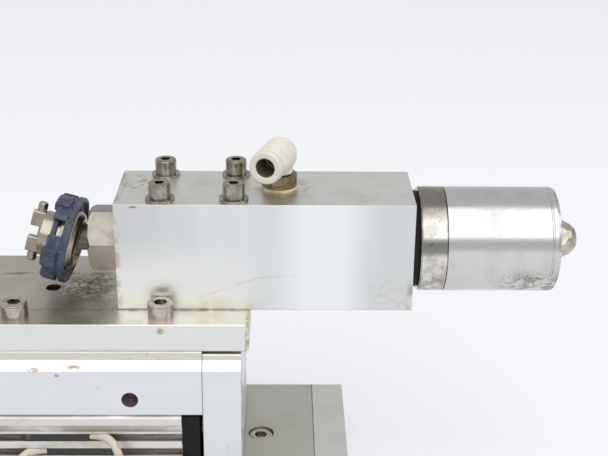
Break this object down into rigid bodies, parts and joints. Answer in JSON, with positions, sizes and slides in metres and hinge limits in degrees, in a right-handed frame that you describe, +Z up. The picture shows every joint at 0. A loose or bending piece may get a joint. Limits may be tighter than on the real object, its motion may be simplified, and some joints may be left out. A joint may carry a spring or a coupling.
{
  "type": "pneumatic slide table",
  "caption": "Air slide table on a base plate, carrying a drilled valve block with a swivel spray nozzle, a tube elbow and a return cylinder.",
  "frame": {"origin": "under the middle of the slide body, on the underside of the base plate", "axes": "+X along the stroke, the way the table moves out; +Y away from the switch side; +Z up from the base"},
  "size_m": [0.284, 0.1316, 0.1218],
  "materials": {
    "base_alloy": "brushed, dull",
    "bar_alloy": "brushed",
    "body_alloy": "clear anodised, extruded",
    "table_alloy": "clear anodised, machined",
    "plate_alloy": "milled",
    "block_alloy": "satin milled",
    "bracket_alloy": "anodised",
    "screw_steel": "nickel plated, tarnished",
    "dark_steel": "black oxide, worn",
    "rail_steel": "ground",
    "rod_steel": "hard chrome",
    "cap_steel": "turned, bright",
    "ring_steel": "turned, tarnished",
    "brass": "nickel plated, tarnished",
    "adapter_metal": "nickel plated",
    "nozzle_metal": "nickel plated, warm",
    "blue_cap": "dusty anodised",
    "cream_plastic": "moulded, yellowed",
    "white_plastic": "machined",
    "black_plastic": "moulded",
    "rubber": "matt",
    "magnet": "sintered",
    "gasket": "matt",
    "lead_sheath": "soft vinyl"
  },
  "bodies": {
    "slide_base": {"base_plate": "base_alloy", "end_bar": "bar_alloy", "base_screws": "dark_steel", "foot_screw": "screw_steel", "slide_body": "body_alloy", "head_caps": "body_alloy", "retaining_rings": "dark_steel", "rod_covers": "dark_steel", "body_rails": "rail_steel", "end_bumper": "rubber", "absorber_brackets": "bracket_alloy", "absorber_tubes": "brass", "absorber_nuts": "brass", "bracket_screws": "dark_steel", "upper_switch": "black_plastic", "lower_switch": "black_plastic", "switch_screws": "screw_steel", "upper_lead": "lead_sheath", "upper_lead_coil": "lead_sheath", "lower_lead": "lead_sheath", "lower_lead_coil": "lead_sheath"},
    "left_absorber_pin": {"left_plunger": "rod_steel"},
    "right_absorber_pin": {"right_plunger": "rod_steel"},
    "roller_cage": {"roller_cages": "black_plastic", "guide_rollers": "rail_steel"},
    "slide_table": {"table": "table_alloy", "table_rails": "rail_steel", "end_plate": "table_alloy", "end_plate_screws": "dark_steel", "piston_rods": "rod_steel", "pistons": "body_alloy", "piston_seals": "rubber", "piston_magnets": "magnet", "rod_end_screws": "dark_steel", "striker": "bracket_alloy", "striker_screws": "dark_steel", "adapter_plate": "plate_alloy", "plate_screws": "screw_steel", "valve_block": "block_alloy", "block_screws": "screw_steel", "spring_washers": "screw_steel", "flat_washers": "screw_steel", "elbow_stub": "brass", "elbow_gasket": "gasket", "ball_adapter": "adapter_metal", "valve_ring": "ring_steel", "valve_o_ring": "rubber", "cylinder_cap": "cap_steel"},
    "elbow": {"elbow_body": "cream_plastic"},
    "tube_release": {"release_ring": "cream_plastic"},
    "nozzle_swivel": {"swivel_collar": "nozzle_metal"},
    "nozzle_cap": {"retaining_cap": "blue_cap"},
    "nozzle_front": {"air_cap": "nozzle_metal", "horn_pins": "nozzle_metal", "ball_seat_ring": "white_plastic"},
    "needle": {"valve_piston": "body_alloy", "valve_needle": "rod_steel", "return_spring": "rail_steel"},
    "spring_stop": {"spring_seat": "rail_steel"},
    "adjuster": {"adjusting_screw": "screw_steel"}
  },
  "joints": [
    {"name": "table_slide", "type": "slide", "parent": "slide_base", "child": "slide_table", "axis": [1, 0, 0], "range_m": [0, 0.02]},
    {"name": "cage_slide", "type": "slide", "parent": "slide_base", "child": "roller_cage", "axis": [1, 0, 0], "range_m": [0, 0.01]},
    {"name": "left_absorber_push", "type": "slide", "parent": "slide_base", "child": "left_absorber_pin", "axis": [-1, 0, 0], "range_m": [0, 0.005], "stiffness_N_per_m": 400},
    {"name": "right_absorber_push", "type": "slide", "parent": "slide_base", "child": "right_absorber_pin", "axis": [1, 0, 0], "range_m": [0, 0.005], "stiffness_N_per_m": 400},
    {"name": "elbow_swivel", "type": "hinge", "parent": "slide_table", "child": "elbow", "pos_m": [0.0785, 0, 0.1139], "axis": [0, 0, 1], "continuous": true},
    {"name": "tube_release_push", "type": "slide", "parent": "elbow", "child": "tube_release", "axis": [0.3173, 0.9483, 0], "range_m": [0, 0.0007], "stiffness_N_per_m": 1000},
    {"name": "nozzle_tilt", "type": "hinge", "parent": "slide_table", "child": "nozzle_swivel", "pos_m": [0.007, -0.0004, 0.0873], "axis": [-0.1045, -0.9945, 0], "range_deg": [-2, 28]},
    {"name": "nozzle_cap_turn", "type": "hinge", "parent": "nozzle_swivel", "child": "nozzle_cap", "pos_m": [0.007, -0.0004, 0.0873], "axis": [-0.969, 0.1018, 0.225], "range_deg": [0, 90]},
    {"name": "air_cap_turn", "type": "hinge", "parent": "nozzle_swivel", "child": "nozzle_front", "pos_m": [0.007, -0.0004, 0.0873], "axis": [-0.969, 0.1018, 0.225], "range_deg": [-45, 45]},
    {"name": "needle_lift", "type": "slide", "parent": "slide_table", "child": "needle", "axis": [1, 0, 0], "range_m": [0, 0.003], "stiffness_N_per_m": 1500},
    {"name": "spring_stop_slide", "type": "slide", "parent": "slide_table", "child": "spring_stop", "axis": [1, 0, 0], "range_m": [0, 0.003]},
    {"name": "adjuster_turn", "type": "hinge", "parent": "spring_stop", "child": "adjuster", "pos_m": [0.1685, -0.0004, 0.0873], "axis": [1, 0, 0], "range_deg": [0, 1080]}
  ],
  "couplings": [
    {"joint": "cage_slide", "follows": "table_slide", "ratio": 0.5},
    {"joint": "adjuster_turn", "follows": "spring_stop_slide", "rad_per_m": 6283}
  ]
}
